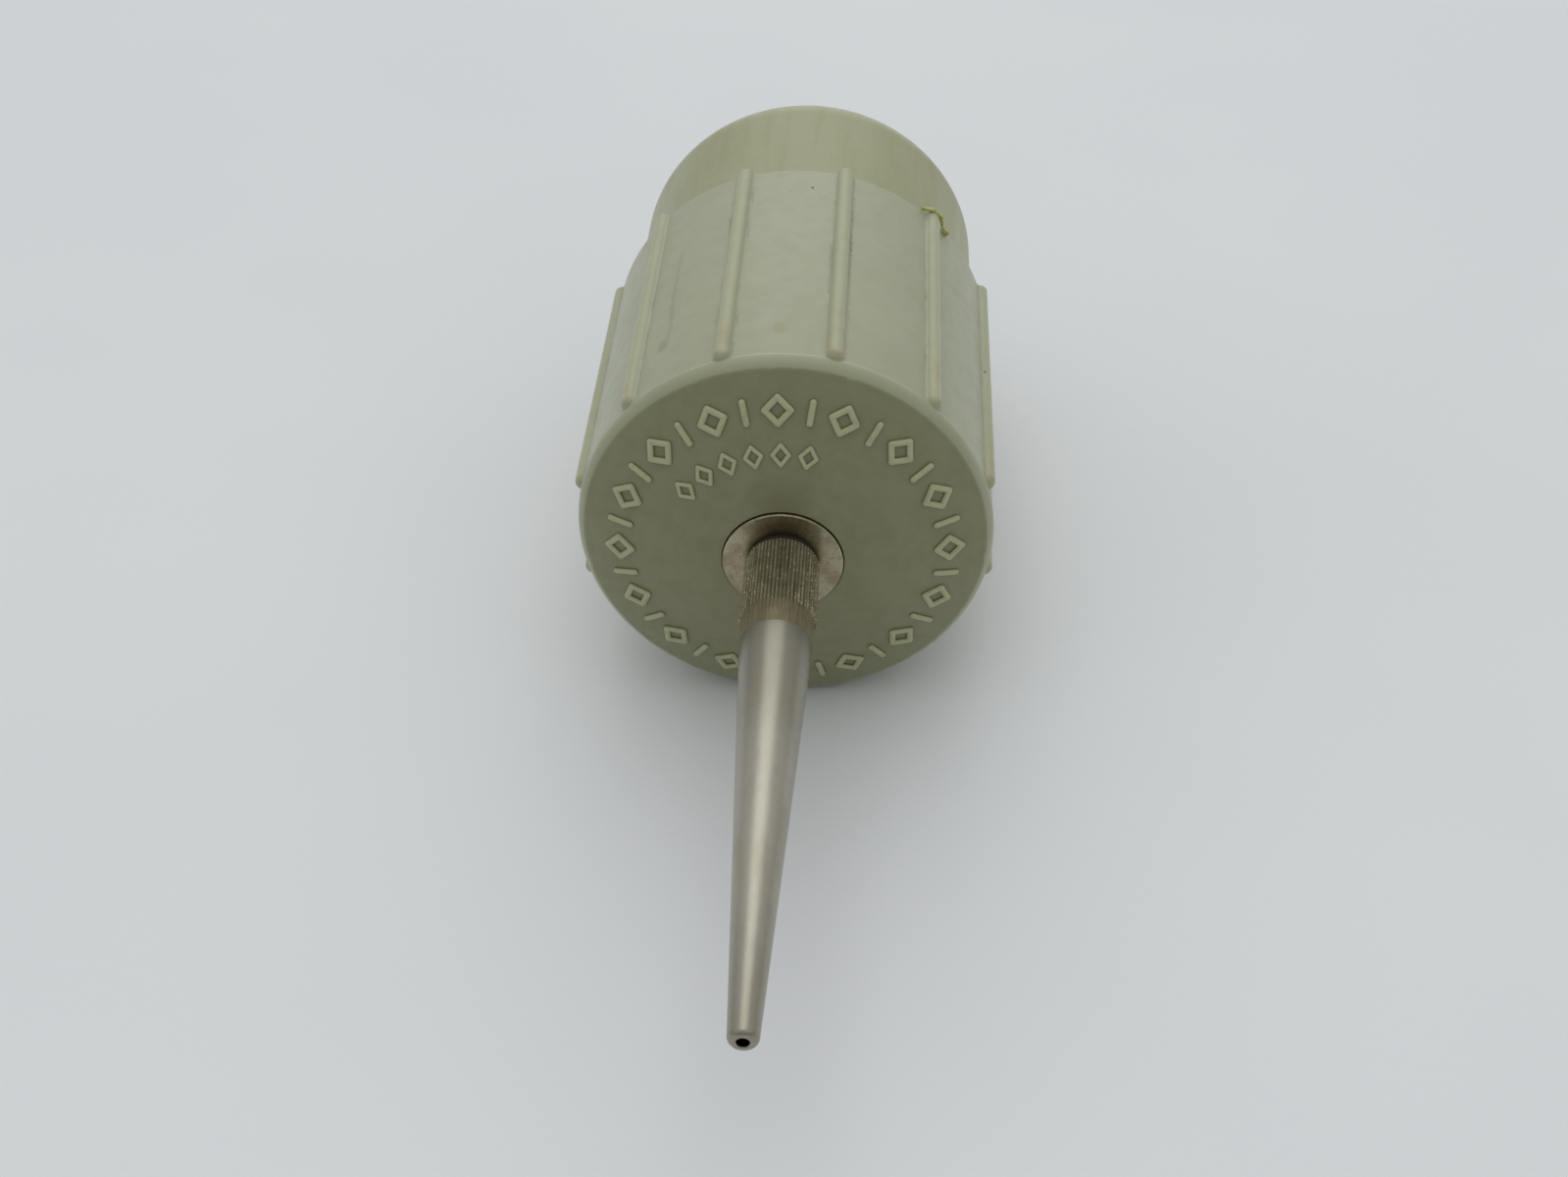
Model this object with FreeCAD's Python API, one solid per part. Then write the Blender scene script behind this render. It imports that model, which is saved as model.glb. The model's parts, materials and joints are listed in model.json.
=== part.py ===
import FreeCAD, Part
import math
import os

# Watchmaker's screwdriver with a guide nose.  The hollow nose centres itself over a small sunk screw,
# the ribbed handle is turned by the fingers, and the smooth palm cap is pressed to push the blade out.
#
# Lengths are millimetres.  A "station" is measured along the tool from the middle of the handle's
# front face, positive towards the palm.  While it is modelled, the tool's axis is the Y axis.  At the
# end place() lays the tool on two of its ribs, with the nose towards -Y and the floor at Z = 0.

# ---- handle body ----
BODY_R = 17.0            # barrel between the ribs
BODY_REAR = 34.2
FACE_DOME_R = 41.0       # the front face is slightly domed
RIM_ROUND = 1.3
RIM_PROUD = 0.06         # the rim stands a little above the barrel
RIM_STEP = 0.22
REAR_ROUND = 0.35
MOUTH_R = 15.85          # bore that guides the palm cap, loosely
MOUTH_FRONT = 23.5
MOUTH_CHAMFER = 0.3
CAVITY_R = 14.2
CAVITY_FRONT = 5.6
HUB_R = 7.5
HUB_REAR = 11.0
WEB_COUNT = 6
WEB_WIDTH = 1.2
WEB_REAR = 9.0

# ---- finger ribs on the handle ----
RIB_COUNT = 12
RIB_ROUND = 0.7
RIB_CENTRE_R = 16.95
RIB_FOOT_ROUND = 0.4     # hollow blend between a rib and the barrel
RIB_FOOT_SINK = 0.08     # how far below the barrel the blend would end
RIB_ROOT = 0.5           # how deep the rib is rooted in the barrel's wall
RIB_FRONT = 4.2

# ---- raised ornament on the front face: a ring of lozenges and bars, and a short row above the nose ----
RING_R = 13.4
RING_GROUPS = 16
RING_ROUND = 0.28        # half the width of a raised line
LOZENGE_HEIGHT = 2.7     # over the lines, as is the width
LOZENGE_WIDTH = 2.6
BAR_LENGTH = 2.3
ROW_R = 9.9
ROW_COUNT = 6
ROW_PITCH = 12.6         # degrees
ROW_MIDDLE = -18.0
ROW_ROUND = 0.2
ROW_HEIGHT = 2.1
ROW_WIDTH = 1.7

# ---- front bush, its key, washer and nut ----
FLANGE_R = 4.88
FLANGE_FRONT = 0.05
FLANGE_REAR = 1.15
FLANGE_CHAMFER = 0.09
FLANGE_GAP = 0.1         # open ring between the flange and the plastic
BARREL_R = 4.0
SLEEVE_R = 3.45
SLEEVE_REAR = 22.0
NOSE_THREAD_R = 2.5
NOSE_THREAD_REAR = 8.0
GUIDE_R = 2.05
KEY_R = 0.8
KEY_FRONT = 3.0
KEY_REAR = 8.0
WASHER_R = 6.4
WASHER_REAR = 11.8
NUT_ACROSS_FLATS = 10.0
NUT_REAR = 14.4
NUT_BEVEL = 0.4

# ---- nose tube ----
NOSE_TIP = -48.2
TIP_R = 1.07
TIP_ROUND = 0.5
TIP_HOLE_R = 0.42
TIP_HOLE_REAR = -45.5
TIP_HOLE_CHAMFER = 0.08
FINE_BORE_R = 0.8
FINE_BORE_REAR = -28.0
MAIN_BORE_R = 1.45
KNURL_R = 3.02
KNURL_DEPTH = 0.16
KNURL_COUNT = 60
KNURL_FRONT = -7.75
KNURL_REAR = -0.3
KNURL_CHAMFER = 0.2
RUNOUT_FRONT = -10.3
RUNOUT_REAR_R = 2.91
TAPER_R = 2.84           # where the polished taper starts
SHANK_REAR = 7.5
NOSE_WASHER_R = 2.9

# ---- spindle, blade and drive pin ----
STROKE = 4.0
SPINDLE_R = 2.0
SPINDLE_FRONT = 12.2
SOCKET_DEPTH = 9.8
HEAD_R = 3.55
HEAD_FRONT = 41.4
HEAD_REAR = 44.9
ROD_R = 1.2
ROD_REAR = 21.5
ROD_STEP = -23.6
ROD_THIN_R = 0.7
ROD_FRONT = -41.1
BLADE_R = 0.32
BLADE_REAR = -34.2
BLADE_TIP = -46.6
BLADE_THICKNESS = 0.16
BLADE_FLAT_LENGTH = 1.7
PIN_R = 0.6
PIN_STATION = 19.2
PIN_LENGTH = 6.6
PIN_SLOT_CLEARANCE = 0.05

# ---- return spring and its collar ----
SEAT_REAR = 15.0
SEAT_R = 5.6
SPRING_WIRE_R = 0.4
SPRING_MEAN_R = 4.35
SPRING_TURNS = 7
COLLAR_R = 5.0
COLLAR_FRONT = 28.0
COLLAR_REAR = 31.0
SCREW_R = 0.8
SCREW_DIMPLE = 0.25
SCREW_TOP_R = 4.9
SCREW_SLOT_WIDTH = 0.3
SCREW_SLOT_DEPTH = 0.5

# ---- palm cap and its swivel ----
CAP_R = 15.7
CAP_FRONT = 28.2
CAP_REAR = 55.6
CAP_END_DEPTH = 7.9      # how far the rounded end reaches forward
CAP_END_WIDTH = 11.7     # how far it reaches in from the barrel
CAP_WALL = 2.2
BOSS_R = 7.4
BOSS_FRONT = 38.0
CAP_WEB_FRONT = 41.0
INSERT_R = 5.5
INSERT_FRONT = 38.6
INSERT_REAR = 50.0
INSERT_BORE_R = 3.6
INSERT_FLOOR = 48.5
PAD_R = 3.4
BALL_R = 1.5
BALL_STATION = 45.8
SWIVEL_NUT_FRONT = 39.2
SWIVEL_NUT_REAR = 41.2
SWIVEL_NUT_SLOT = 0.8

RUNNING = 0.05           # radial clearance of the parts that turn or slide on each other
SEATED = 0.02            # radial clearance of the parts that are screwed or pressed together
PAST = 1.0               # how far a cutting tool runs past the surface that it cuts
END_CHAMFER = 0.3        # on the ends of the turned steel parts

AXIS_HEIGHT = RIB_CENTRE_R * math.cos(math.pi / RIB_COUNT) + RIB_ROUND
MIDDLE = (NOSE_TIP + CAP_REAR) / 2

ORIGIN = FreeCAD.Vector(0, 0, 0)
ALONG = FreeCAD.Vector(0, 1, 0)
UP = FreeCAD.Vector(0, 0, 1)


# ---- helpers ----
def at(radius, station, height=0.0):
    return FreeCAD.Vector(radius, station, height)


def rod(radius, front, rear):
    return Part.makeCylinder(radius, rear - front, at(0, front), ALONG)


def tube(inner, outer, front, rear):
    return rod(outer, front, rear).cut(rod(inner, front - PAST, rear + PAST))


def turned(start, *steps):
    """Solid of revolution.  A step is a point (radius, station), or two points for an arc."""
    edges = []
    here = start
    for step in steps + (start,):
        if isinstance(step[0], tuple):
            through, end = step
            edges.append(Part.Arc(at(*here), at(*through), at(*end)).toShape())
        else:
            end = step
            edges.append(Part.LineSegment(at(*here), at(*end)).toShape())
        here = end
    return Part.Face(Part.Wire(edges)).revolve(ORIGIN, ALONG, 360)


def around(shape, degrees):
    copy = shape.copy()
    copy.rotate(ORIGIN, ALONG, degrees)
    return copy


def ring_of(shape, count, first=0.0):
    return [around(shape, first + 360.0 / count * i) for i in range(count)]


def cross_hole(radius, station, reach):
    return Part.makeCylinder(radius, 2 * reach, at(-reach, station), FreeCAD.Vector(1, 0, 0))


def quarter_round(centre, radius, start_angle, end_angle):
    """Middle and end point of an arc, for turned()."""
    points = []
    for angle in ((start_angle + end_angle) / 2, end_angle):
        turn = math.radians(angle)
        points.append((centre[0] + radius * math.cos(turn), centre[1] + radius * math.sin(turn)))
    return tuple(points)


def place(shape):
    shape = shape.copy()
    shape.translate(FreeCAD.Vector(0, -MIDDLE, AXIS_HEIGHT))
    return shape


# ---- handle body ----
def face_station(radius):
    return FACE_DOME_R - math.sqrt(FACE_DOME_R**2 - radius**2)


def barrel_outside():
    rim_r = BODY_R + RIM_PROUD - RIM_ROUND
    rim_station = FACE_DOME_R - math.sqrt((FACE_DOME_R - RIM_ROUND)**2 - rim_r**2)
    dome_end = math.degrees(math.asin(rim_r / (FACE_DOME_R - RIM_ROUND))) - 90
    return turned(
        (0, 0),
        quarter_round((0, FACE_DOME_R), FACE_DOME_R, -90, dome_end),
        quarter_round((rim_r, rim_station), RIM_ROUND, dome_end, 0),
        (BODY_R, rim_station + RIM_STEP),
        (BODY_R, BODY_REAR - REAR_ROUND),
        quarter_round((BODY_R - REAR_ROUND, BODY_REAR - REAR_ROUND), REAR_ROUND, 0, 90),
        (0, BODY_REAR),
    )


def rib_half_section():
    """Half of a rib's cross-section across the tool, from its crest down to its hollow foot."""
    foot_height = BODY_R - RIB_FOOT_SINK
    crest_height = RIB_CENTRE_R + RIB_ROUND
    blend_height = foot_height + RIB_FOOT_ROUND
    reach = RIB_ROUND + RIB_FOOT_ROUND
    rise = blend_height - RIB_CENTRE_R
    width = math.sqrt(reach**2 - rise**2)

    def on_crest(angle):
        return at(RIB_ROUND * math.sin(angle), 0, RIB_CENTRE_R + RIB_ROUND * math.cos(angle))

    def on_foot(angle):
        across = width - RIB_FOOT_ROUND * math.sin(angle)
        return at(across, 0, blend_height - RIB_FOOT_ROUND * math.cos(angle))

    meet = math.atan2(width, rise)
    root = at(0, 0, BODY_R - RIB_ROOT)
    edges = [
        Part.Arc(on_crest(0), on_crest(meet / 2), on_crest(meet)),
        Part.Arc(on_crest(meet), on_foot(meet / 2), on_foot(0)),
        Part.LineSegment(on_foot(0), at(width, 0, root.z)),
        Part.LineSegment(at(width, 0, root.z), root),
        Part.LineSegment(root, at(0, 0, crest_height)),
    ]
    return Part.Face(Part.Wire([edge.toShape() for edge in edges])), width


def finger_ribs():
    half, width = rib_half_section()
    straight_front = RIB_FRONT + width
    half.translate(at(0, straight_front))
    end = half.revolve(at(0, straight_front), UP, 360)
    length = at(0, BODY_REAR - straight_front)
    side = half.extrude(length)
    other_side = side.mirror(ORIGIN, FreeCAD.Vector(1, 0, 0))
    rib = side.multiFuse([other_side, end]).removeSplitter()
    return ring_of(rib, RIB_COUNT, 180.0 / RIB_COUNT)


def on_face(shape, radius, degrees):
    """Lays a shape, made around the origin with Y as its thickness, on the domed front face."""
    shape = shape.copy()
    shape.rotate(ORIGIN, FreeCAD.Vector(1, 0, 0), -math.degrees(math.asin(radius / FACE_DOME_R)))
    shape.translate(at(0, face_station(radius), radius))
    return around(shape, degrees)


def raised_line(points, half_width):
    """Half-round ridge through the points, which are (across, up) on the face."""
    places = [at(across, 0, up) for across, up in points]
    parts = [Part.makeSphere(half_width, place) for place in places]
    for start, end in zip(places, places[1:]):
        parts.append(Part.makeCylinder(half_width, start.distanceToPoint(end), start, end - start))
    return parts[0].multiFuse(parts[1:])


def lozenge(width, height, half_width):
    across = width / 2 - half_width
    up = height / 2 - half_width
    return raised_line([(0, up), (across, 0), (0, -up), (-across, 0), (0, up)], half_width)


def face_ornament():
    large = lozenge(LOZENGE_WIDTH, LOZENGE_HEIGHT, RING_ROUND)
    small = lozenge(ROW_WIDTH, ROW_HEIGHT, ROW_ROUND)
    bar_end = BAR_LENGTH / 2 - RING_ROUND
    bar = raised_line([(0, bar_end), (0, -bar_end)], RING_ROUND)
    pitch = 360.0 / RING_GROUPS
    marks = []
    for group in range(RING_GROUPS):
        marks.append(on_face(large, RING_R, pitch * group))
        marks.append(on_face(bar, RING_R, pitch * (group + 0.5)))
    for i in range(ROW_COUNT):
        marks.append(on_face(small, ROW_R, ROW_MIDDLE + ROW_PITCH * (i - (ROW_COUNT - 1) / 2)))
    return marks


def stiffening_webs(inner, outer, front, rear):
    web = Part.makeBox(WEB_WIDTH, rear - front, outer - inner, at(-WEB_WIDTH / 2, front, inner))
    return ring_of(web, WEB_COUNT, 180.0 / WEB_COUNT)


def handle_body():
    body = barrel_outside().multiFuse(finger_ribs() + face_ornament())
    ring_space = tube(HUB_R, CAVITY_R, CAVITY_FRONT, HUB_REAR)
    for web in stiffening_webs(HUB_R - PAST, CAVITY_R + PAST, CAVITY_FRONT - PAST, WEB_REAR):
        ring_space = ring_space.cut(web)
    mouth = turned(
        (0, MOUTH_FRONT),
        (MOUTH_R, MOUTH_FRONT),
        (MOUTH_R, BODY_REAR - MOUTH_CHAMFER),
        (MOUTH_R + MOUTH_CHAMFER, BODY_REAR),
        (MOUTH_R + MOUTH_CHAMFER, BODY_REAR + PAST),
        (0, BODY_REAR + PAST),
    )
    cavity = rod(CAVITY_R, HUB_REAR, MOUTH_FRONT)
    pocket = rod(FLANGE_R + FLANGE_GAP, -PAST, FLANGE_REAR)
    bore = rod(BARREL_R + SEATED, 0, HUB_REAR + PAST)
    return body.cut([ring_space, mouth, cavity, pocket, bore, key_hole()])


# ---- front bush ----
def key_hole():
    return Part.makeCylinder(KEY_R, KEY_REAR - FLANGE_REAR, at(0, FLANGE_REAR, BARREL_R), ALONG)


def bush_key():
    length = KEY_REAR - KEY_FRONT - SEATED
    return Part.makeCylinder(KEY_R - SEATED, length, at(0, KEY_FRONT, BARREL_R), ALONG)


def pin_slot():
    half_width = PIN_R + PIN_SLOT_CLEARANCE
    front = PIN_STATION - STROKE
    straight = Part.makeBox(2 * BARREL_R, STROKE, 2 * half_width, at(-BARREL_R, front, -half_width))
    ends = [cross_hole(half_width, station, BARREL_R) for station in (front, PIN_STATION)]
    return straight.multiFuse(ends)


def front_bush():
    bush = turned(
        (NOSE_THREAD_R, FLANGE_FRONT),
        (FLANGE_R - FLANGE_CHAMFER, FLANGE_FRONT),
        (FLANGE_R, FLANGE_FRONT + FLANGE_CHAMFER),
        (FLANGE_R, FLANGE_REAR - SEATED),
        (BARREL_R, FLANGE_REAR - SEATED),
        (BARREL_R, HUB_REAR - SEATED),
        (SLEEVE_R, HUB_REAR - SEATED),
        (SLEEVE_R, SLEEVE_REAR),
        (GUIDE_R, SLEEVE_REAR),
        (GUIDE_R, NOSE_THREAD_REAR),
        (NOSE_THREAD_R, NOSE_THREAD_REAR),
    )
    return bush.cut([key_hole(), pin_slot()])


def bush_washer():
    return tube(SLEEVE_R + SEATED, WASHER_R, HUB_REAR, WASHER_REAR - SEATED)


def bush_nut():
    corner_r = NUT_ACROSS_FLATS / 2 / math.cos(math.pi / 6)
    corners = [around(Part.Vertex(at(0, WASHER_REAR, corner_r)), 60.0 * i).Point for i in range(7)]
    hexagon = Part.Face(Part.makePolygon(corners)).extrude(at(0, NUT_REAR - SEATED - WASHER_REAR))
    bevel = turned(
        (0, WASHER_REAR),
        (corner_r, WASHER_REAR),
        (corner_r, NUT_REAR - NUT_BEVEL),
        (corner_r - 2 * NUT_BEVEL, NUT_REAR),
        (0, NUT_REAR),
    )
    return hexagon.common(bevel).cut(rod(SLEEVE_R + SEATED, 0, SLEEVE_REAR))


# ---- nose tube ----
def nose_washer():
    return tube(NOSE_THREAD_R + RUNNING, NOSE_WASHER_R, KNURL_REAR + SEATED, FLANGE_FRONT - SEATED)


def knurled_bar():
    """A bar with straight V grooves all round, for the finger grip of the nose."""
    corners = []
    for i in range(2 * KNURL_COUNT + 1):
        radius = KNURL_R if i % 2 == 0 else KNURL_R - KNURL_DEPTH
        turn = math.pi * i / KNURL_COUNT
        corners.append(at(radius * math.sin(turn), RUNOUT_FRONT, radius * math.cos(turn)))
    return Part.Face(Part.makePolygon(corners)).extrude(at(0, KNURL_REAR - RUNOUT_FRONT))


def nose_tube():
    root = turned(
        (0, RUNOUT_FRONT),
        (TAPER_R, RUNOUT_FRONT),
        (RUNOUT_REAR_R, KNURL_FRONT),
        (KNURL_R, KNURL_FRONT + KNURL_CHAMFER / 2),
        (KNURL_R, KNURL_REAR - KNURL_CHAMFER),
        (KNURL_R - KNURL_CHAMFER, KNURL_REAR),
        (0, KNURL_REAR),
    )
    shank = turned(
        (0, KNURL_REAR),
        (NOSE_THREAD_R - SEATED, KNURL_REAR),
        (NOSE_THREAD_R - SEATED, SHANK_REAR - END_CHAMFER),
        (NOSE_THREAD_R - END_CHAMFER, SHANK_REAR),
        (0, SHANK_REAR),
    )
    tip_centre = (TIP_R - TIP_ROUND, NOSE_TIP + TIP_ROUND)
    taper = turned(
        (0, RUNOUT_FRONT),
        (TAPER_R, RUNOUT_FRONT),
        (TIP_R, NOSE_TIP + TIP_ROUND),
        quarter_round(tip_centre, TIP_ROUND, 0, -90),
        (0, NOSE_TIP),
    )
    bores = turned(
        (0, NOSE_TIP),
        (TIP_HOLE_R + TIP_HOLE_CHAMFER, NOSE_TIP),
        (TIP_HOLE_R, NOSE_TIP + TIP_HOLE_CHAMFER),
        (TIP_HOLE_R, TIP_HOLE_REAR),
        (FINE_BORE_R, TIP_HOLE_REAR),
        (FINE_BORE_R, FINE_BORE_REAR),
        (MAIN_BORE_R, FINE_BORE_REAR),
        (MAIN_BORE_R, SHANK_REAR),
        (0, SHANK_REAR),
    )
    return root.common(knurled_bar()).multiFuse([shank, taper]).cut(bores)


# ---- spindle, blade rod and blade ----
def spindle():
    body = turned(
        (0, SPINDLE_FRONT),
        (SPINDLE_R - END_CHAMFER, SPINDLE_FRONT),
        (SPINDLE_R, SPINDLE_FRONT + END_CHAMFER),
        (SPINDLE_R, HEAD_FRONT),
        (HEAD_R, HEAD_FRONT),
        (HEAD_R, HEAD_REAR - END_CHAMFER),
        (HEAD_R - END_CHAMFER, HEAD_REAR),
        (0, HEAD_REAR),
    )
    socket = rod(ROD_R + SEATED, SPINDLE_FRONT - PAST, SPINDLE_FRONT + SOCKET_DEPTH)
    ball_seat = Part.makeSphere(BALL_R + SEATED, at(0, BALL_STATION))
    dimple = Part.makeCylinder(SCREW_R, PAST, at(0, screw_station(), SPINDLE_R - SCREW_DIMPLE), UP)
    return body.cut([socket, ball_seat, dimple, cross_hole(PIN_R + SEATED, PIN_STATION, HEAD_R)])


def blade_rod():
    body = rod(ROD_R, ROD_STEP, ROD_REAR).fuse(rod(ROD_THIN_R, ROD_FRONT, ROD_STEP))
    blade_hole = rod(BLADE_R + SEATED, ROD_FRONT - PAST, BLADE_REAR + SEATED)
    return body.cut([blade_hole, cross_hole(PIN_R + SEATED, PIN_STATION, HEAD_R)])


def blade():
    wire = rod(BLADE_R, BLADE_TIP, BLADE_REAR)
    half = BLADE_THICKNESS / 2
    wedge = Part.Face(Part.makePolygon([
        at(-PAST, BLADE_TIP - PAST, half),
        at(-PAST, BLADE_TIP, half),
        at(-PAST, BLADE_TIP + BLADE_FLAT_LENGTH, BLADE_R),
        at(-PAST, BLADE_TIP + BLADE_FLAT_LENGTH, PAST),
        at(-PAST, BLADE_TIP - PAST, PAST),
        at(-PAST, BLADE_TIP - PAST, half),
    ])).extrude(FreeCAD.Vector(2 * PAST, 0, 0))
    return wire.cut([wedge, around(wedge, 180)])


def drive_pin():
    return cross_hole(PIN_R, PIN_STATION, PIN_LENGTH / 2)


# ---- return spring and its collar ----
def spring_seat():
    return tube(SLEEVE_R + RUNNING, SEAT_R, NUT_REAR, SEAT_REAR - SEATED)


def return_spring():
    height = COLLAR_FRONT - SEAT_REAR - 2 * (SPRING_WIRE_R + SEATED)
    path = Part.Wire(Part.makeHelix(height / SPRING_TURNS, height, SPRING_MEAN_R))
    start = FreeCAD.Vector(SPRING_MEAN_R, 0, 0)
    section = Part.Wire(Part.makeCircle(SPRING_WIRE_R, start, ALONG))
    spring = path.makePipeShell([section], True, True)
    spring.rotate(ORIGIN, FreeCAD.Vector(1, 0, 0), -90)
    spring.translate(at(0, SEAT_REAR + SPRING_WIRE_R + SEATED))
    return spring


def screw_station():
    return (COLLAR_FRONT + COLLAR_REAR) / 2


def spring_collar():
    collar = tube(SPINDLE_R + SEATED, COLLAR_R, COLLAR_FRONT, COLLAR_REAR)
    return collar.cut(Part.makeCylinder(SCREW_R, COLLAR_R + PAST, at(0, screw_station()), UP))


def collar_screw():
    bottom = SPINDLE_R - SCREW_DIMPLE + SEATED
    screw = Part.makeCylinder(SCREW_R - SEATED, SCREW_TOP_R - bottom, at(0, screw_station(), bottom), UP)
    slot_corner = at(-SCREW_R, screw_station() - SCREW_SLOT_WIDTH / 2, SCREW_TOP_R - SCREW_SLOT_DEPTH)
    slot = Part.makeBox(2 * SCREW_R, SCREW_SLOT_WIDTH, PAST, slot_corner)
    return screw.cut(slot)


# ---- palm cap and its swivel ----
def cap_outline(inset, front):
    """Solid bounded by the cap's outline moved inwards by inset."""
    centre = at(CAP_R - CAP_END_WIDTH, CAP_REAR - CAP_END_DEPTH)
    width = CAP_END_WIDTH - inset
    depth = CAP_END_DEPTH - inset
    curve = Part.ArcOfEllipse(Part.Ellipse(centre, width, depth), 0, math.pi / 2).toShape()
    side = Part.LineSegment(at(CAP_R - inset, front), at(CAP_R - inset, centre.y)).toShape()
    end = Part.LineSegment(at(centre.x, CAP_REAR - inset), at(0, CAP_REAR - inset)).toShape()
    middle = Part.LineSegment(at(0, CAP_REAR - inset), at(0, front)).toShape()
    opening = Part.LineSegment(at(0, front), at(CAP_R - inset, front)).toShape()
    return Part.Face(Part.Wire([side, curve, end, middle, opening])).revolve(ORIGIN, ALONG, 360)


def palm_cap():
    webs = stiffening_webs(BOSS_R - PAST, CAP_R, CAP_WEB_FRONT, CAP_REAR)
    inside = cap_outline(CAP_WALL, CAP_FRONT - PAST).cut([rod(BOSS_R, BOSS_FRONT, CAP_REAR)] + webs)
    insert_hole = rod(INSERT_R + SEATED, BOSS_FRONT - PAST, INSERT_REAR + SEATED)
    return cap_outline(0, CAP_FRONT).cut([inside, insert_hole])


def swivel_socket():
    bore = rod(INSERT_BORE_R, INSERT_FRONT - PAST, INSERT_FLOOR)
    return rod(INSERT_R, INSERT_FRONT, INSERT_REAR).cut(bore)


def swivel_nut():
    nut = tube(SPINDLE_R + RUNNING, INSERT_BORE_R - SEATED, SWIVEL_NUT_FRONT, SWIVEL_NUT_REAR)
    slot_corner = at(-INSERT_BORE_R, SWIVEL_NUT_FRONT, -SWIVEL_NUT_SLOT / 2)
    slot = Part.makeBox(2 * INSERT_BORE_R, SWIVEL_NUT_SLOT, SWIVEL_NUT_SLOT, slot_corner)
    return nut.cut(slot)


def thrust_pad():
    return rod(PAD_R, BALL_STATION + BALL_R + SEATED, INSERT_FLOOR - SEATED)


def thrust_ball():
    return Part.makeSphere(BALL_R, at(0, BALL_STATION))


NODES = (
    handle_body, front_bush, bush_key, bush_washer, bush_nut, nose_washer, nose_tube,
    spindle, blade_rod, blade, drive_pin, spring_seat, return_spring, spring_collar, collar_screw,
    palm_cap, swivel_socket, swivel_nut, thrust_pad, thrust_ball,
)

os.makedirs("parts", exist_ok=True)
for make in NODES:
    shape = place(make())
    shape.exportStep(f"parts/{make.__name__}.step")
    print(make.__name__, len(shape.Solids), "solid", shape.isValid(), round(shape.Volume, 2), "mm3")
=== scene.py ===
import json
import math
import random

import bpy
from mathutils import Matrix, Vector


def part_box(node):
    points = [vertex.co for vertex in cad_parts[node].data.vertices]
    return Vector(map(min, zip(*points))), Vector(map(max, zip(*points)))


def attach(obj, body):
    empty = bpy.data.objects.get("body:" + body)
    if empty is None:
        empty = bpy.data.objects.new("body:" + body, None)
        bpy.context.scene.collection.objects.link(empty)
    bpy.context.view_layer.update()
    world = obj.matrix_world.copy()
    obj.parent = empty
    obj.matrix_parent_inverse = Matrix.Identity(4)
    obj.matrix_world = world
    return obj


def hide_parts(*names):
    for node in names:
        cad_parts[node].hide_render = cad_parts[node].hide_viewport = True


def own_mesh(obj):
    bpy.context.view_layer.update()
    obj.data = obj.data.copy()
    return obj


# Looks of the watchmaker's screwdriver.  Lengths are metres, in the frame of the CAD model; inside a
# material they are millimetres: "along" runs from the middle of the handle's front face towards the
# palm, "radius" and "angle" are taken about the tool's axis, with angle 0 at the top.

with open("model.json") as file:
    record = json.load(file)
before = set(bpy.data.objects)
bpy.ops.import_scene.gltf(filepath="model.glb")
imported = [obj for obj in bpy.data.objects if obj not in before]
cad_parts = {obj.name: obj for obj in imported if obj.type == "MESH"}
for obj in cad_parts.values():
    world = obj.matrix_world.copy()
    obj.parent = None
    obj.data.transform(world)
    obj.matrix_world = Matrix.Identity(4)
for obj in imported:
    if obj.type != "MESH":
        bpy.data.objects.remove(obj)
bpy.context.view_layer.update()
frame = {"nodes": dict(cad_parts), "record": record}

MM = 0.001
FLANGE_SUNK = 0.05 * MM   # the flange's front stands this far behind the middle of the front face
handle_low, handle_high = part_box("handle_body")
AXIS_HEIGHT = (handle_low.z + handle_high.z) / 2
FACE_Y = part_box("front_bush")[0].y - FLANGE_SUNK

# millimetres, and degrees round the axis
BODY_R = 17.0             # barrel between the ribs
BODY_REAR = (handle_high.y - FACE_Y) / MM
FACE_DOME_R = 41.0
RIB_PITCH = 30.0
RIB_FIRST = 15.0          # the first rib to the right of the top
RIB_FOOT = 2.9            # from a rib's middle to the hollow at its foot
KNURL_R = 3.02
KNURL_FRONT = -7.75
TAPER_REAR = -10.3        # the polished taper runs forward from here
TIP_HOLE_R = 0.42

# grime colour; at the feet of the ribs it is also painted shade
GRIME_AND_SHADE = (0.17, 0.15, 0.08)


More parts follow.
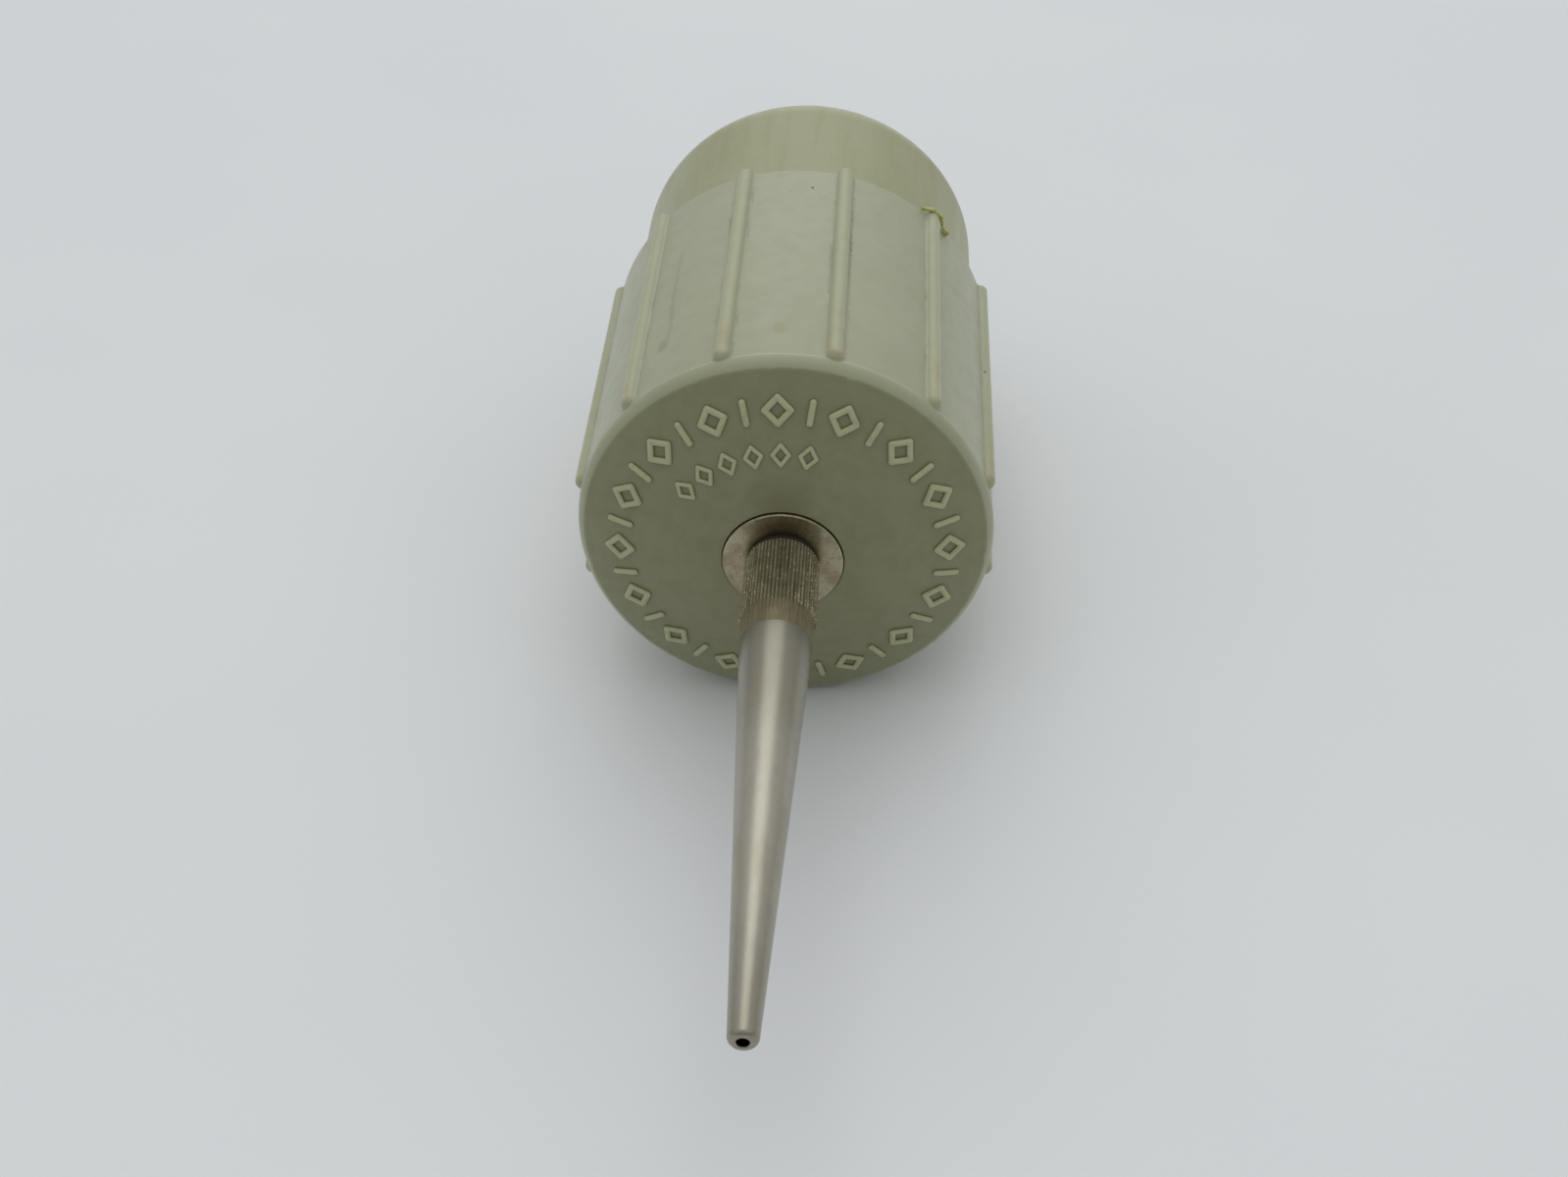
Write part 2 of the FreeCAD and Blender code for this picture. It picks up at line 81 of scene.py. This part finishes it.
# ---- node recipes ----
class Recipe:
    """A node material in the making.  Each method adds one step and returns its output socket."""

    def __init__(self, name, metallic=0.0, specular=0.5):
        self.material = bpy.data.materials.new(name)
        self.material.use_nodes = True
        self.nodes = self.material.node_tree.nodes
        self.links = self.material.node_tree.links
        self.nodes.clear()
        self.shader = self.add("ShaderNodeBsdfPrincipled")
        self.shader.distribution = "MULTI_GGX"
        output = self.add("ShaderNodeOutputMaterial")
        self.links.new(self.shader.outputs[0], output.inputs[0])
        self.shader.inputs["Metallic"].default_value = metallic
        self.shader.inputs["Specular IOR Level"].default_value = specular
        self.place = self.add("ShaderNodeTexCoord").outputs["Object"]
        self.measure()

    def add(self, kind, **settings):
        node = self.nodes.new(kind)
        for name, value in settings.items():
            setattr(node, name, value)
        return node

    def feed(self, socket, value):
        if isinstance(value, bpy.types.NodeSocket):
            self.links.new(value, socket)
        else:
            socket.default_value = value

    def math(self, operation, *values):
        node = self.add("ShaderNodeMath", operation=operation)
        for socket, value in zip(node.inputs, values):
            self.feed(socket, value)
        return node.outputs[0]

    def measure(self):
        """Millimetre coordinates about the tool's axis."""
        apart = self.add("ShaderNodeSeparateXYZ")
        self.links.new(self.place, apart.inputs[0])
        self.across = self.math("MULTIPLY", apart.outputs[0], 1 / MM)
        shifted = self.math("SUBTRACT", apart.outputs[1], FACE_Y)
        self.along = self.math("MULTIPLY", shifted, 1 / MM)
        lifted = self.math("SUBTRACT", apart.outputs[2], AXIS_HEIGHT)
        self.height = self.math("MULTIPLY", lifted, 1 / MM)
        squares = [self.math("MULTIPLY", side, side) for side in (self.across, self.height)]
        self.radius = self.math("SQRT", self.math("ADD", *squares))
        turn = self.math("ARCTAN2", self.across, self.height)
        self.angle = self.math("MULTIPLY", turn, 180 / math.pi)

    def vector(self, x, y, z):
        node = self.add("ShaderNodeCombineXYZ")
        for socket, value in zip(node.inputs, (x, y, z)):
            self.feed(socket, value)
        return node.outputs[0]

    def spot(self, stretch_along=1.0, shift=0.0):
        """Position for a texture, drawn out along the tool when stretch_along is over 1."""
        along = self.math("MULTIPLY_ADD", self.along, 1 / stretch_along, shift)
        return self.vector(self.across, along, self.height)

    def noise(self, where, scale, detail=3.0, roughness=0.55):
        node = self.add("ShaderNodeTexNoise")
        self.feed(node.inputs["Vector"], where)
        node.inputs["Scale"].default_value = scale
        node.inputs["Detail"].default_value = detail
        node.inputs["Roughness"].default_value = roughness
        return node.outputs["Fac"]

    def cells(self, where, scale):
        """Distance to the nearest of a scatter of points."""
        node = self.add("ShaderNodeTexVoronoi")
        self.feed(node.inputs["Vector"], where)
        node.inputs["Scale"].default_value = scale
        node.inputs["Randomness"].default_value = 1.0
        return node.outputs["Distance"]

    def ramp(self, value, low, high, to_low=0.0, to_high=1.0):
        """Smooth step from low to high; low may be the larger."""
        node = self.add("ShaderNodeMapRange", interpolation_type="SMOOTHSTEP")
        for socket, number in zip(node.inputs, (value, low, high, to_low, to_high)):
            self.feed(socket, number)
        return node.outputs[0]

    def band(self, value, middle, half_width, fade):
        """1 within half_width of middle, fading to 0 over fade."""
        off = self.math("ABSOLUTE", self.math("SUBTRACT", value, middle))
        return self.ramp(off, half_width + fade, half_width)

    def times(self, *values):
        result = values[0]
        for value in values[1:]:
            result = self.math("MULTIPLY", result, value)
        return result

    def angle_off(self, degrees):
        """Degrees round the tool from a direction, positive clockwise as the front face is seen."""
        return self.math("SUBTRACT", self.angle, degrees)

    def patch(self, degrees, half_angle, station, half_length, fade=0.5):
        """Soft oval patch on the handle: 1 in its middle, 0 outside."""
        round_part = self.math("DIVIDE", self.angle_off(degrees), half_angle)
        long_part = self.math("DIVIDE", self.math("SUBTRACT", self.along, station), half_length)
        squares = [self.math("MULTIPLY", part, part) for part in (round_part, long_part)]
        return self.ramp(self.math("ADD", *squares), 1.0, 1.0 - fade)

    def blend(self, factor, first, second):
        """Mixes two colours, each given as a socket or as red, green and blue."""
        node = self.add("ShaderNodeMix", data_type="RGBA")
        self.feed(node.inputs[0], factor)
        for socket, colour in zip(node.inputs[6:8], (first, second)):
            self.feed(socket, colour if isinstance(colour, bpy.types.NodeSocket) else (*colour, 1.0))
        return node.outputs[2]

    def crevice(self, reach):
        """0 in the open, 1 deep in a corner narrower than reach (millimetres)."""
        node = self.add("ShaderNodeAmbientOcclusion", samples=8)
        node.inputs["Distance"].default_value = reach * MM
        return self.ramp(node.outputs["AO"], 0.95, 0.45)

    def bump(self, height, depth, under=None):
        """Raises the surface by height (0 to 1) times depth (millimetres)."""
        node = self.add("ShaderNodeBump")
        node.inputs["Distance"].default_value = depth * MM
        self.feed(node.inputs["Height"], height)
        if under is not None:
            self.links.new(under, node.inputs["Normal"])
        return node.outputs[0]

    def finish(self, colour=None, roughness=None, normal=None):
        for socket, value in (("Base Color", colour), ("Roughness", roughness), ("Normal", normal)):
            if value is not None:
                self.feed(self.shader.inputs[socket], value)
        return self.material


# ---- plastics ----
def moulded_grain(recipe):
    """Fine moulded surface with a slight waviness and hair scratches."""
    waves = recipe.noise(recipe.spot(), 0.35, 2.0)
    grain = recipe.noise(recipe.spot(), 9.0, 3.0, 0.6)
    scratches = recipe.noise(recipe.spot(0.08, 40.0), 1.6, 4.0, 0.7)
    normal = recipe.bump(waves, 0.05)
    normal = recipe.bump(grain, 0.008, normal)
    return recipe.bump(scratches, 0.006, normal)


def specks(recipe, scale, size, share):
    """Scattered dark specks: the nearest-point distance is small, and only some cells hold one."""
    where = recipe.spot(1.0, 11.0)
    near = recipe.ramp(recipe.cells(where, scale), size, size * 0.5)
    chosen = recipe.ramp(recipe.noise(where, scale * 0.37, 0.0), 1.0 - share, 1.02 - share)
    return recipe.times(near, chosen)


def height_over_dome(recipe):
    """Millimetres by which a point stands in front of the front face's dome."""
    square = recipe.math("MULTIPLY", recipe.radius, recipe.radius)
    inside = recipe.math("SUBTRACT", FACE_DOME_R**2, square)
    dome = recipe.math("SUBTRACT", FACE_DOME_R, recipe.math("SQRT", recipe.math("MAXIMUM", inside, 0.0)))
    return recipe.math("SUBTRACT", dome, recipe.along)


def barrel_dirt_and_shade(recipe, colour):
    """Handling marks on the barrel: grime and painted shade at the feet of the ribs, stains, a flow line
    in the plastic.
    """
    from_rib = recipe.math("PINGPONG", recipe.math("ADD", recipe.angle, 360.0 - RIB_FIRST), RIB_PITCH / 2)
    behind_rim = recipe.ramp(recipe.along, 3.6, 4.6)
    on_barrel = recipe.times(recipe.ramp(recipe.radius, BODY_R - 0.3, BODY_R - 0.1), behind_rim)
    # darker in broken dashes at the feet of the ribs: grime, and painted shade in the creases
    foot = recipe.band(from_rib, RIB_FOOT, 0.2, 0.6)
    broken = recipe.ramp(recipe.noise(recipe.spot(3.5, 3.0), 0.9, 4.0, 0.75), 0.46, 0.68)
    colour = recipe.blend(recipe.times(foot, broken, on_barrel, 0.5), colour, GRIME_AND_SHADE)

    # dark flecks in the middle of one rib, along its right foot: dirt, and painted shade in the seam
    # there
    dirt_and_shade_seam = recipe.band(recipe.angle, RIB_FIRST + RIB_FOOT - 0.2, 0.1, 0.6)
    flecks = recipe.ramp(recipe.noise(recipe.spot(1.0, 8.0), 1.5, 5.0, 0.8), 0.46, 0.66, 0.2, 1.0)
    middle = recipe.band(recipe.along, 22.0, 3.0, 7.0)
    colour = recipe.blend(recipe.times(dirt_and_shade_seam, flecks, middle), colour, (0.13, 0.085, 0.045))

    # worn, brownish ends of the crests
    crest = recipe.ramp(recipe.radius, BODY_R + 0.2, BODY_R + 0.6)
    rubbed = recipe.ramp(recipe.noise(recipe.spot(3.0, 2.0), 0.9, 3.0, 0.6), 0.44, 0.64)
    near_front = recipe.ramp(recipe.along, 14.0, 5.0)
    colour = recipe.blend(recipe.times(crest, rubbed, near_front, 0.7), colour, (0.34, 0.27, 0.12))

    # one brown stain, the dull flow line with its dark end, and one black speck near the rear
    stain = recipe.times(recipe.patch(0.0, 2.6, 8.3, 1.0, 0.9), 0.5)
    colour = recipe.blend(stain, colour, (0.30, 0.25, 0.11))
    waver = recipe.math("SUBTRACT", recipe.noise(recipe.spot(3.0), 0.35), 0.5)
    wavy_angle = recipe.math("ADD", recipe.angle, recipe.math("MULTIPLY", waver, 3.0))
    line = recipe.band(wavy_angle, -33.5, 0.25, 0.9)
    stretch = recipe.times(recipe.ramp(recipe.along, 8.0, 12.0), recipe.ramp(recipe.along, 27.0, 22.0))
    colour = recipe.blend(recipe.times(line, stretch, 0.32), colour, (0.19, 0.21, 0.12))
    line_end = recipe.times(recipe.patch(-35.0, 2.0, 10.5, 1.2, 0.9), 0.45)
    colour = recipe.blend(line_end, colour, (0.20, 0.19, 0.10))
    return recipe.blend(recipe.patch(5.5, 0.5, 31.0, 0.2), colour, (0.04, 0.03, 0.02))


def face_dirt_and_shade(recipe, colour, cloudy):
    """Darkens the front face with a grey-brown coat, partly dirt and partly painted shade for a face
    turned from the light; painted shade over the flange and in the corners; lighter where the coat is
    rubbed off the raised marks.
    """
    proud = height_over_dome(recipe)
    on_face = recipe.ramp(proud, -0.06, 0.0)
    # the face's coat is partly dirt and partly painted shade, darkening the whole face that is turned
    # away from the light
    dirt_and_shade_film = recipe.blend(recipe.ramp(cloudy, 0.35, 0.7), (0.232, 0.238, 0.127), (0.212, 0.216, 0.108))
    colour = recipe.blend(on_face, colour, dirt_and_shade_film)
    # painted shade: darker on the face above the flange
    near_flange = recipe.ramp(recipe.radius, 9.5, 5.5)
    painted_shade_over_flange = recipe.times(recipe.band(recipe.angle, 0.0, 7.0, 26.0), near_flange)
    colour = recipe.blend(recipe.times(painted_shade_over_flange, on_face, 0.4), colour, (0.135, 0.120, 0.070))
    # painted shade: darker in the face's corners, found by ambient occlusion
    corner = recipe.crevice(0.7)
    colour = recipe.blend(recipe.times(corner, on_face, 0.8), colour, (0.125, 0.105, 0.035))
    worn_patches = recipe.ramp(recipe.noise(recipe.spot(), 1.4, 3.0), 0.2, 0.5, 0.65, 1.0)
    raised = recipe.times(recipe.ramp(proud, 0.05, 0.2), worn_patches)
    return recipe.blend(raised, colour, (0.430, 0.440, 0.250))


def handle_plastic():
    recipe = Recipe("handle_plastic")
    recipe.shader.inputs["Sheen Weight"].default_value = 0.15
    broad = recipe.noise(recipe.spot(), 0.09, 2.0)
    cloudy = recipe.noise(recipe.spot(), 0.6, 4.0, 0.6)
    colour = recipe.blend(recipe.ramp(broad, 0.35, 0.65), (0.338, 0.355, 0.223), (0.357, 0.374, 0.238))
    colour = recipe.blend(recipe.ramp(cloudy, 0.42, 0.72, 0.0, 0.3), colour, (0.322, 0.331, 0.190))

    # the ribs are rubbed a little yellower and lighter on their crests
    crest = recipe.ramp(recipe.radius, BODY_R + 0.1, BODY_R + 0.55)
    colour = recipe.blend(recipe.times(crest, 0.7), colour, (0.385, 0.395, 0.222))
    colour = barrel_dirt_and_shade(recipe, colour)
    colour = face_dirt_and_shade(recipe, colour, cloudy)
    colour = recipe.blend(specks(recipe, 0.42, 0.07, 0.30), colour, (0.06, 0.045, 0.03))
    roughness = recipe.ramp(cloudy, 0.3, 0.7, 0.33, 0.43)
    return recipe.finish(colour, roughness, moulded_grain(recipe))


def flash_plastic():
    """The yellow-green thread of plastic left at the end of one rib."""
    recipe = Recipe("flash_plastic")
    mottle = recipe.noise(recipe.spot(), 3.0, 3.0, 0.7)
    colour = recipe.blend(recipe.ramp(mottle, 0.35, 0.6), (0.60, 0.60, 0.24), (0.40, 0.36, 0.11))
    return recipe.finish(colour, 0.42, recipe.bump(mottle, 0.03))


def cap_plastic():
    recipe = Recipe("cap_plastic")
    recipe.shader.inputs["Sheen Weight"].default_value = 0.15
    broad = recipe.noise(recipe.spot(), 0.1, 2.0)
    streak = recipe.noise(recipe.spot(9.0, 17.0), 0.55, 4.0, 0.65)
    fine_streak = recipe.noise(recipe.spot(14.0, 3.0), 2.4, 3.0, 0.6)
    colour = recipe.blend(recipe.ramp(broad, 0.35, 0.65), (0.288, 0.303, 0.136), (0.304, 0.316, 0.148))
    colour = recipe.blend(recipe.ramp(streak, 0.48, 0.75, 0.0, 0.6), colour, (0.275, 0.255, 0.105))
    colour = recipe.blend(recipe.ramp(fine_streak, 0.55, 0.8, 0.0, 0.35), colour, (0.350, 0.352, 0.195))
    mouth = recipe.ramp(recipe.along, BODY_REAR + 1.6, BODY_REAR - 0.2)
    colour = recipe.blend(recipe.times(mouth, 0.45), colour, GRIME_AND_SHADE)
    colour = recipe.blend(specks(recipe, 0.5, 0.08, 0.3), colour, (0.09, 0.07, 0.04))
    roughness = recipe.ramp(streak, 0.3, 0.7, 0.34, 0.44)
    return recipe.finish(colour, roughness, moulded_grain(recipe))


# ---- metals ----
def turned_rings(recipe, depth):
    """Fine lathe rings: they run round the tool, so the texture depends on station and radius."""
    rings = recipe.noise(recipe.vector(recipe.radius, recipe.along, 0.0), 14.0, 4.0, 0.7)
    return recipe.bump(rings, depth)


def satin_nickel():
    recipe = Recipe("satin_nickel", metallic=1.0)
    tarnish = recipe.noise(recipe.spot(1.0, 7.0), 0.55, 5.0, 0.65)
    spots = recipe.noise(recipe.spot(1.0, 2.0), 3.2, 3.0, 0.7)
    colour = recipe.blend(recipe.ramp(tarnish, 0.40, 0.66), (0.43, 0.395, 0.275), (0.31, 0.255, 0.155))
    colour = recipe.blend(recipe.ramp(spots, 0.52, 0.68, 0.0, 0.7), colour, (0.25, 0.205, 0.12))
    # painted reflection: a dark purple-brown patch on the flange above the nose, standing for the nose
    # mirrored in it
    near_nose = recipe.ramp(recipe.radius, 4.7, 3.6)
    painted_nose_reflection = recipe.times(recipe.band(recipe.angle, 2.0, 16.0, 26.0), near_nose)
    colour = recipe.blend(recipe.times(painted_nose_reflection, 0.5), colour, (0.16, 0.11, 0.10))
    roughness = recipe.ramp(tarnish, 0.3, 0.7, 0.22, 0.36)
    return recipe.finish(colour, roughness, turned_rings(recipe, 0.004))


def knurl_metal(recipe):
    """Colour and metal share of the nose's root: dirt in the grooves, painted highlights as bright dots
    on the crests.
    """
    slow_along = recipe.math("MULTIPLY", recipe.along, 0.5)
    streaks = recipe.noise(recipe.vector(recipe.angle, slow_along, 0.0), 0.23, 3.0, 0.7)
    patchy = recipe.noise(recipe.spot(2.0, 1.0), 1.3, 4.0, 0.7)
    colour = recipe.blend(recipe.ramp(patchy, 0.35, 0.65), (0.36, 0.33, 0.215), (0.25, 0.22, 0.125))
    colour = recipe.blend(recipe.ramp(streaks, 0.47, 0.62, 0.0, 0.8), colour, (0.13, 0.10, 0.055))
    groove = recipe.ramp(recipe.radius, KNURL_R - 0.02, KNURL_R - 0.14)
    on_knurl = recipe.ramp(recipe.along, KNURL_FRONT - 0.1, KNURL_FRONT + 0.1)
    colour = recipe.blend(recipe.ramp(on_knurl, 1.0, 0.0, 0.0, 0.6), colour, (0.185, 0.155, 0.085))
    colour = recipe.blend(recipe.times(groove, on_knurl, 0.6), colour, (0.07, 0.062, 0.03))
    # painted highlights: bright warm dots scattered on the knurl's crests
    grains = recipe.ramp(recipe.noise(recipe.spot(1.5, 4.0), 7.5, 3.0, 0.75), 0.56, 0.62)
    chosen = recipe.ramp(recipe.noise(recipe.spot(1.0, 6.0), 1.3, 3.0), 0.38, 0.54)
    crest = recipe.math("SUBTRACT", 1.0, groove)
    painted_glints = recipe.times(grains, chosen, crest, on_knurl)
    colour = recipe.blend(painted_glints, colour, (0.85, 0.82, 0.66))
    metal_share = recipe.math("SUBTRACT", 0.55, recipe.times(on_knurl, 0.2))
    return colour, metal_share


def polished_nickel():
    recipe = Recipe("polished_nickel")
    round_the_tool = recipe.vector(recipe.angle, 0.0, recipe.math("MULTIPLY", recipe.along, 0.35))
    lines = recipe.noise(round_the_tool, 0.9, 4.0, 0.75)
    tarnish = recipe.noise(recipe.spot(3.0, 9.0), 0.5, 4.0, 0.6)
    # brighter along its middle and darker towards the root: painted reflection brightness; the middle is
    # also scuffed rougher
    before_tip = recipe.ramp(recipe.along, -46.0, -32.0, 0.5, 1.0)
    rubbed = recipe.times(recipe.ramp(recipe.along, -14.0, -27.0), before_tip)
    nickel_and_painted_light = recipe.blend(rubbed, (0.290, 0.279, 0.226), (0.415, 0.396, 0.328))
    colour = recipe.blend(recipe.ramp(tarnish, 0.42, 0.7, 0.0, 0.5), nickel_and_painted_light, (0.29, 0.26, 0.195))

    root_colour, root_metal = knurl_metal(recipe)
    on_root = recipe.ramp(recipe.along, TAPER_REAR - 0.12, TAPER_REAR + 0.12)
    colour = recipe.blend(on_root, colour, root_colour)
    # painted shade: the walls of the tip's hole are coloured near-black
    painted_bore_shade = recipe.ramp(recipe.radius, TIP_HOLE_R + 0.06, TIP_HOLE_R)
    colour = recipe.blend(painted_bore_shade, colour, (0.02, 0.018, 0.015))
    recipe.feed(recipe.shader.inputs["Metallic"], recipe.ramp(on_root, 0.0, 1.0, 1.0, root_metal))
    polish = recipe.ramp(lines, 0.3, 0.7, 0.19, 0.27)
    scuffed = recipe.math("ADD", recipe.times(on_root, 0.14), recipe.times(rubbed, 0.07))
    roughness = recipe.math("ADD", polish, scuffed)
    return recipe.finish(colour, roughness, recipe.bump(lines, 0.005))


def turned_metal(name, light, dark, roughness_low, roughness_high):
    recipe = Recipe(name, metallic=1.0)
    patches = recipe.noise(recipe.spot(), 0.8, 4.0, 0.6)
    colour = recipe.blend(recipe.ramp(patches, 0.35, 0.7), light, dark)
    roughness = recipe.ramp(patches, 0.3, 0.7, roughness_low, roughness_high)
    return recipe.finish(colour, roughness, turned_rings(recipe, 0.006))


# the washer's near-black colour is partly its own and partly painted shade for the gap between flange and
# knurl
def dark_fibre():
    recipe = Recipe("dark_fibre", specular=0.3)
    fibres = recipe.noise(recipe.spot(0.3), 6.0, 5.0, 0.8)
    colour = recipe.blend(fibres, (0.018, 0.014, 0.010), (0.05, 0.038, 0.025))
    roughness = recipe.ramp(fibres, 0.3, 0.7, 0.6, 0.8)
    return recipe.finish(colour, roughness, recipe.bump(fibres, 0.02))


# light and dark colour, lowest and highest roughness
TURNED_METALS = {
    "plain_steel": ((0.50, 0.49, 0.47), (0.36, 0.34, 0.31), 0.28, 0.42),
    "hardened_steel": ((0.36, 0.36, 0.37), (0.24, 0.24, 0.26), 0.2, 0.3),
    "spring_steel": ((0.33, 0.33, 0.34), (0.20, 0.19, 0.19), 0.25, 0.4),
    "ball_steel": ((0.66, 0.66, 0.66), (0.58, 0.58, 0.58), 0.06, 0.1),
    "raw_brass": ((0.70, 0.50, 0.20), (0.52, 0.35, 0.13), 0.28, 0.42),
}


def finish_nodes():
    """Gives each CAD node the material of its slot in the record."""
    makers = (handle_plastic, cap_plastic, satin_nickel, polished_nickel, dark_fibre)
    materials = {maker.__name__: maker() for maker in makers}
    for name, looks in TURNED_METALS.items():
        materials[name] = turned_metal(name, *looks)
    for subpart in frame["record"]["subparts"]:
        slots = frame["nodes"][subpart["node"]].data.materials
        slots.clear()
        slots.append(materials[subpart["material_slot"]])


# ---- thread of moulding flash at the rear end of one rib ----
FLASH_ANGLE = RIB_FIRST + RIB_PITCH
FLASH_RADIUS = 0.2
# across the rib, behind the barrel's rear edge, and distance from the tool's axis, in millimetres
FLASH_ROUTE = (
    (-1.45, 0.02, 17.05),
    (-1.05, 0.06, 17.20),
    (-0.60, 0.04, 17.60),
    (0.00, 0.02, 17.76),
    (0.50, -0.05, 17.70),
    (0.95, -0.20, 17.36),
    (1.22, -0.48, 17.18),
    (1.50, -0.80, 17.22),
    (1.42, -1.08, 17.16),
)


def make_mould_flash():
    """A thread of uneven thickness with a blob at its loose end."""
    dice = random.Random(7)
    data = bpy.data.curves.new("flash_route", "CURVE")
    data.dimensions = "3D"
    data.bevel_depth = FLASH_RADIUS * MM
    data.bevel_resolution = 5
    data.resolution_u = 8
    data.use_fill_caps = True
    spline = data.splines.new("NURBS")
    spline.points.add(len(FLASH_ROUTE) - 1)
    turn = Matrix.Rotation(math.radians(FLASH_ANGLE), 4, "Y")
    for point, (across, behind, radius) in zip(spline.points, FLASH_ROUTE):
        place = turn @ Vector((across * MM, 0, radius * MM))
        point.co = (place.x, FACE_Y + (BODY_REAR + behind) * MM, AXIS_HEIGHT + place.z, 1)
        point.radius = dice.uniform(0.7, 1.35)
    spline.points[-1].radius = 1.7
    spline.order_u = 3
    spline.use_endpoint_u = True
    route = bpy.data.objects.new("flash_route", data)
    mesh = bpy.data.meshes.new_from_object(route)
    mesh.name = "mould_flash"
    mesh.materials.clear()
    mesh.materials.append(flash_plastic())
    mesh.shade_smooth()
    piece = bpy.data.objects.new("mould_flash", mesh)
    bpy.context.scene.collection.objects.link(piece)
    bpy.data.objects.remove(route)
    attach(piece, "handle")


# ---- return spring, copied as a piece of its own riding on the handle ----
def make_return_coil():
    spring = frame["nodes"]["return_spring"]
    piece = bpy.data.objects.new("return_coil", spring.data.copy())
    piece.data.name = "return_coil"
    bpy.context.scene.collection.objects.link(piece)
    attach(piece, "handle")
    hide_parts("return_spring")
    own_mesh(piece)


# ---- floor, light and camera ----
FLOOR_HALF = 3.0
ROOM_COLOUR = (0.975, 0.99, 1.0)
ROOM_BRIGHT_SIDE = (0.0, 0.35, 0.94)
ROOM_FADE = (-0.5, 0.9)           # cosine of the angle from the bright side, dim to bright
ROOM_DIM = 0.26
ROOM_BRIGHT = 0.68
SKYLIGHT = 0.76
SKYLIGHT_EDGE = (0.48, 0.16)      # how far to the side it fades out
SKYLIGHT_FRONT = (-0.55, 0.1)     # how far to the front it fades out
CAMERA_SENSOR = 36.0
CAMERA_LENS = 48.4
CAMERA_FROM_FACE = (0.01083, -0.1321, 0.10612)
CAMERA_HEADING = 4.68
CAMERA_DOWN = 39.36
CAMERA_ROLL = -2.72


def pale_floor():
    recipe = Recipe("pale_floor", specular=0.25)
    broad = recipe.noise(recipe.spot(), 0.012, 3.0)
    fine = recipe.noise(recipe.spot(), 1.2, 3.0)
    colour = recipe.blend(recipe.ramp(broad, 0.3, 0.7), (0.770, 0.785, 0.795), (0.800, 0.812, 0.820))
    return recipe.finish(colour, 0.6, recipe.bump(fine, 0.02))


def make_floor():
    mesh = bpy.data.meshes.new("floor")
    corners = [(x * FLOOR_HALF, y * FLOOR_HALF, 0) for x, y in ((-1, -1), (1, -1), (1, 1), (-1, 1))]
    mesh.from_pydata(corners, [], [(0, 1, 2, 3)])
    mesh.materials.append(pale_floor())
    floor = bpy.data.objects.new("floor", mesh)
    bpy.context.scene.collection.objects.link(floor)


def room_ramp(nodes, links, value, low, high, to_low, to_high):
    """Smooth step for the world's nodes, as Recipe.ramp is for a material's."""
    ramp = nodes.new("ShaderNodeMapRange")
    ramp.interpolation_type = "SMOOTHSTEP"
    for socket, number in zip(ramp.inputs[1:], (low, high, to_low, to_high)):
        socket.default_value = number
    links.new(value, ramp.inputs[0])
    return ramp.outputs[0]


def make_room():
    """Soft light all round, brightest above and behind, with one long skylight over the tool's length."""
    world = bpy.data.worlds.new("room")
    world.use_nodes = True
    nodes = world.node_tree.nodes
    links = world.node_tree.links
    direction = nodes.new("ShaderNodeTexCoord").outputs["Generated"]
    towards = nodes.new("ShaderNodeVectorMath")
    towards.operation = "DOT_PRODUCT"
    towards.inputs[1].default_value = Vector(ROOM_BRIGHT_SIDE).normalized()
    links.new(direction, towards.inputs[0])
    walls = room_ramp(nodes, links, towards.outputs["Value"], *ROOM_FADE, ROOM_DIM, ROOM_BRIGHT)

    apart = nodes.new("ShaderNodeSeparateXYZ")
    links.new(direction, apart.inputs[0])
    sideways = nodes.new("ShaderNodeMath")
    sideways.operation = "ABSOLUTE"
    links.new(apart.outputs[0], sideways.inputs[0])
    strip = room_ramp(nodes, links, sideways.outputs[0], *SKYLIGHT_EDGE, 0.0, SKYLIGHT)
    behind = room_ramp(nodes, links, apart.outputs[1], *SKYLIGHT_FRONT, 0.0, 1.0)
    skylight = nodes.new("ShaderNodeMath")
    skylight.operation = "MULTIPLY_ADD"
    for socket, value in zip(skylight.inputs, (strip, behind, walls)):
        links.new(value, socket)

    background = nodes["Background"]
    background.inputs["Color"].default_value = (*ROOM_COLOUR, 1.0)
    links.new(skylight.outputs[0], background.inputs["Strength"])
    bpy.context.scene.world = world


def make_camera():
    data = bpy.data.cameras.new("camera")
    data.sensor_width = CAMERA_SENSOR
    data.lens = CAMERA_LENS
    data.clip_start = 0.005
    camera = bpy.data.objects.new("camera", data)
    face_middle = Vector((0, FACE_Y, AXIS_HEIGHT))
    place = Matrix.Translation(face_middle + Vector(CAMERA_FROM_FACE))
    heading = Matrix.Rotation(math.radians(CAMERA_HEADING), 4, "Z")
    tilt = Matrix.Rotation(math.radians(90 - CAMERA_DOWN), 4, "X")
    roll = Matrix.Rotation(math.radians(CAMERA_ROLL), 4, "Z")
    camera.matrix_world = place @ heading @ tilt @ roll
    bpy.context.scene.collection.objects.link(camera)
    bpy.context.scene.camera = camera


bpy.context.scene.view_settings.view_transform = "Standard"
finish_nodes()
make_mould_flash()
make_return_coil()
make_floor()
make_room()
make_camera()
